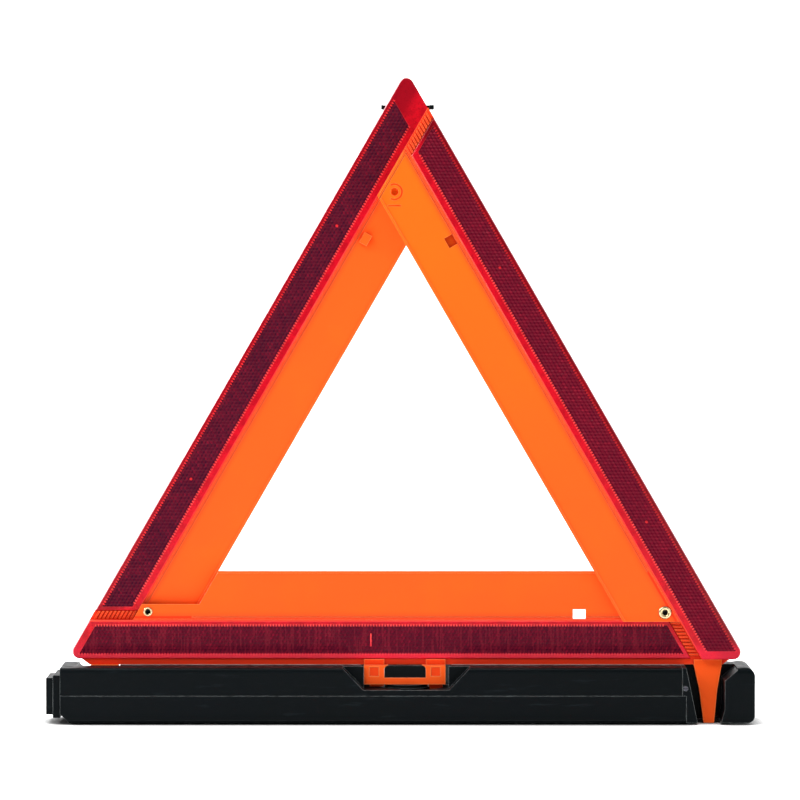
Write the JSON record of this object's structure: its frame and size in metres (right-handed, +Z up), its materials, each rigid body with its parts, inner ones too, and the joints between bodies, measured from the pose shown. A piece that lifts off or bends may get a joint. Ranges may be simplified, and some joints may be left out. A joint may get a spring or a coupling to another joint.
{
  "type": "warning triangle",
  "caption": "Folding roadside warning triangle with red reflector strips and orange bars on a long weighted base that swivels crosswise under the bottom bar.",
  "frame": {"origin": "middle of the base's footprint, on the ground", "axes": "+X along the base towards the notched end cap, +Y to the rear (the reflectors' front faces look along -Y), +Z up"},
  "size_m": [0.4676, 0.052, 0.4264],
  "materials": {
    "orange_plastic": "fluorescent orange moulded plastic, satin",
    "red_reflector": "glossy red reflex-reflector plastic with fine prisms",
    "black_plastic": "satin black moulded plastic",
    "rubber": "matt black rubber",
    "zinc_steel": "zinc plated",
    "eyelet_metal": "bright plated brass",
    "ballast_steel": "raw hot-rolled steel"
  },
  "bodies": {
    "base": {"base_housing": "black_plastic", "base_cover": "black_plastic", "ballast_bars": "ballast_steel", "right_end_cap": "black_plastic", "left_end_plug": "black_plastic", "end_cap_screws": "zinc_steel", "cover_screws": "zinc_steel", "rubber_feet": "rubber", "base_bushing": "zinc_steel"},
    "bottom_bar": {"bottom_panel": "orange_plastic", "bottom_lens_front": "red_reflector", "bottom_lens_rear": "red_reflector", "swivel_bracket": "orange_plastic", "swivel_block": "black_plastic", "swivel_bolt": "zinc_steel", "swivel_nut": "zinc_steel", "thrust_washer": "black_plastic", "spring_washer": "zinc_steel", "front_leg": "orange_plastic", "rear_leg": "orange_plastic", "left_eyelet": "eyelet_metal", "right_eyelet": "eyelet_metal", "left_pivot_spacer": "black_plastic", "right_pivot_spacer": "black_plastic"},
    "left_arm": {"left_panel": "orange_plastic", "left_lens_front": "red_reflector", "left_lens_rear": "red_reflector", "apex_stud": "orange_plastic", "apex_clip": "black_plastic"},
    "right_arm": {"right_panel": "orange_plastic", "right_lens_front": "red_reflector", "right_lens_rear": "red_reflector"}
  },
  "joints": [
    {"name": "base_swivel", "type": "hinge", "parent": "base", "child": "bottom_bar", "pos_m": [0.0041, 0, 0.0229], "axis": [0, 0, -1], "range_deg": [0, 90]},
    {"name": "left_arm_fold", "type": "hinge", "parent": "bottom_bar", "child": "left_arm", "pos_m": [-0.16721, 0, 0.0727], "axis": [0, 1, 0], "range_deg": [0, 60]},
    {"name": "right_arm_fold", "type": "hinge", "parent": "bottom_bar", "child": "right_arm", "pos_m": [0.17541, 0, 0.0727], "axis": [0, -1, 0], "range_deg": [0, 60]}
  ]
}
